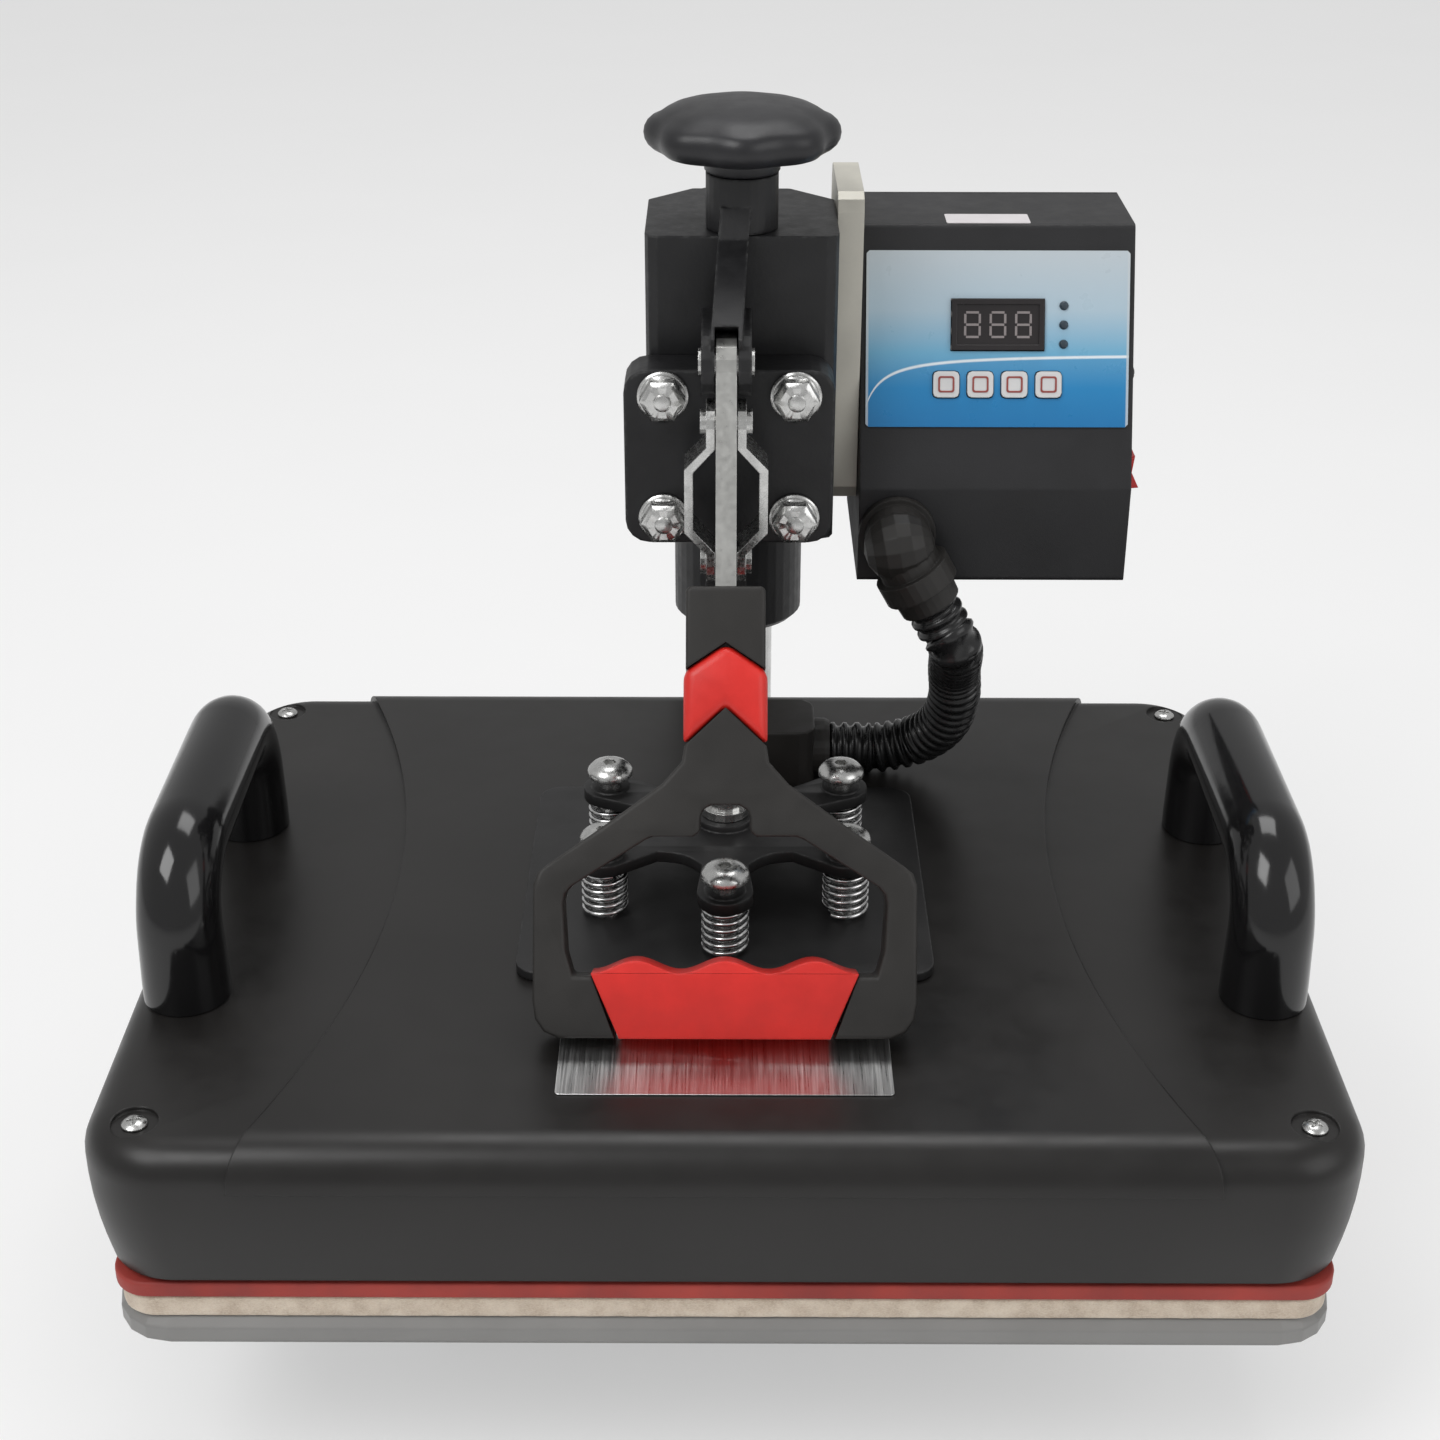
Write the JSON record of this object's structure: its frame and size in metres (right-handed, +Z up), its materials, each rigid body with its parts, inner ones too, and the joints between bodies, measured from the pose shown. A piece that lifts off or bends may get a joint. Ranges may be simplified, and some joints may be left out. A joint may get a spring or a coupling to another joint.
{
  "type": "combo heat press",
  "caption": "Swing-away combo heat press with a flat heat platen, toggle lever, pressure knob, spring-loaded spider plate and a side control box.",
  "frame": {"origin": "on the bench, under the middle of the machine's outer box", "axes": "+X to the right of someone at the lever, +Y to the back towards the column, +Z up"},
  "size_m": [0.396, 0.3942, 0.4105],
  "materials": {
    "satin_black": "satin black paint",
    "box_black": "satin black powder coat",
    "foot_rubber": "matte rubber",
    "bright_steel": "bright zinc-plated steel",
    "spring_steel": "bright plated wire",
    "aluminium": "machined aluminium",
    "brass": "turned brass",
    "bronze": "sintered bronze",
    "grey_paint": "semi-gloss grey paint",
    "pale_steel": "pale plated sheet",
    "cream_felt": "fibrous foam felt",
    "red_silicone": "matte silicone",
    "gloss_black": "gloss moulded plastic",
    "matte_black": "matte moulded plastic",
    "red_plastic": "soft-touch red",
    "panel_print": "printed film",
    "display_dark": "dark window",
    "key_white": "satin white"
  },
  "bodies": {
    "base": {"base_plate": "satin_black", "foot_front_left": "foot_rubber", "foot_front_right": "foot_rubber", "foot_back_left": "foot_rubber", "foot_back_right": "foot_rubber", "column_flange": "satin_black", "column": "bright_steel", "thrust_washer": "bronze", "platen_pedestal": "satin_black", "lower_platen": "grey_paint", "felt_pad": "cream_felt", "silicone_mat": "red_silicone"},
    "arm": {"arm_casting": "satin_black", "head_housing": "satin_black", "head_nut": "brass", "clamp_bolt_upper_left": "bright_steel", "clamp_bolt_upper_right": "bright_steel", "clamp_bolt_lower_left": "bright_steel", "clamp_bolt_lower_right": "bright_steel", "box_bracket": "pale_steel", "control_box_shell": "box_black", "control_box_back": "box_black", "panel_overlay": "panel_print", "display_window": "display_dark", "rocker_frame": "matte_black", "power_inlet": "matte_black", "hose_elbow": "matte_black"},
    "key_1": {"panel_key_1": "key_white"},
    "key_2": {"panel_key_2": "key_white"},
    "key_3": {"panel_key_3": "key_white"},
    "key_4": {"panel_key_4": "key_white"},
    "rocker": {"rocker_switch": "red_plastic"},
    "carriage": {"toggle_bracket": "satin_black", "top_pivot_pin": "bright_steel", "rod_guide": "satin_black", "hose": "matte_black"},
    "knob": {"pressure_knob": "matte_black", "pressure_screw": "bright_steel"},
    "lever": {"lever_plate": "bright_steel", "lever_handle": "matte_black", "finger_grip": "red_plastic", "chevron_band": "red_plastic", "link_pin": "bright_steel"},
    "links": {"link_left": "bright_steel", "link_right": "bright_steel"},
    "platen": {"platen_cover": "satin_black", "heat_platen": "aluminium", "side_handle_left": "gloss_black", "side_handle_right": "gloss_black", "spring_plate": "satin_black", "spring_1": "spring_steel", "spring_2": "spring_steel", "spring_3": "spring_steel", "spring_4": "spring_steel", "spring_5": "spring_steel", "spring_6": "spring_steel", "hose_outlet": "matte_black"},
    "pusher": {"press_rod": "bright_steel", "spider_plate": "satin_black"}
  },
  "joints": [
    {"name": "arm_swing", "type": "hinge", "parent": "base", "child": "arm", "pos_m": [0.005, 0.1511, 0.2], "axis": [0, 0, 1], "continuous": true},
    {"name": "pressure_travel", "type": "slide", "parent": "arm", "child": "carriage", "axis": [0, 0, 1], "range_m": [0, 0.006]},
    {"name": "knob_turn", "type": "hinge", "parent": "carriage", "child": "knob", "pos_m": [0.005, 0.0081, 0.3945], "axis": [0, 0, 1], "range_deg": [0, 1080]},
    {"name": "lever_turn", "type": "hinge", "parent": "carriage", "child": "lever", "pos_m": [0, -0.0389, 0.338], "axis": [-1, 0, 0], "range_deg": [0, 90]},
    {"name": "link_turn", "type": "hinge", "parent": "lever", "child": "links", "pos_m": [0, -0.0389, 0.318], "axis": [-1, 0, 0], "range_deg": [-114.7, 0]},
    {"name": "press_lift", "type": "slide", "parent": "carriage", "child": "platen", "axis": [0, 0, 1], "range_m": [0, 0.02437], "deforming": ["hose"]},
    {"name": "spring_travel", "type": "slide", "parent": "platen", "child": "pusher", "axis": [0, 0, 1], "range_m": [-0.003, 0.004], "stiffness_N_per_m": 40000, "deforming": ["spring_1", "spring_2", "spring_3", "spring_4", "spring_5", "spring_6"]},
    {"name": "key_1_press", "type": "slide", "parent": "arm", "child": "key_1", "axis": [0, 0.9231, -0.3846], "range_m": [0, 0.001], "stiffness_N_per_m": 400},
    {"name": "key_2_press", "type": "slide", "parent": "arm", "child": "key_2", "axis": [0, 0.9231, -0.3846], "range_m": [0, 0.001], "stiffness_N_per_m": 400},
    {"name": "key_3_press", "type": "slide", "parent": "arm", "child": "key_3", "axis": [0, 0.9231, -0.3846], "range_m": [0, 0.001], "stiffness_N_per_m": 400},
    {"name": "key_4_press", "type": "slide", "parent": "arm", "child": "key_4", "axis": [0, 0.9231, -0.3846], "range_m": [0, 0.001], "stiffness_N_per_m": 400},
    {"name": "rocker_tilt", "type": "hinge", "parent": "arm", "child": "rocker", "pos_m": [0.1422, 0.0371, 0.2725], "axis": [0, 1, 0], "range_deg": [0, 20]}
  ],
  "couplings": [
    {"joint": "knob_turn", "follows": "pressure_travel", "rad_per_m": 3141.6},
    {"joint": "lever_turn", "follows": "press_lift", "rad_per_m": 64.454},
    {"joint": "link_turn", "follows": "press_lift", "rad_per_m": -82.088}
  ]
}
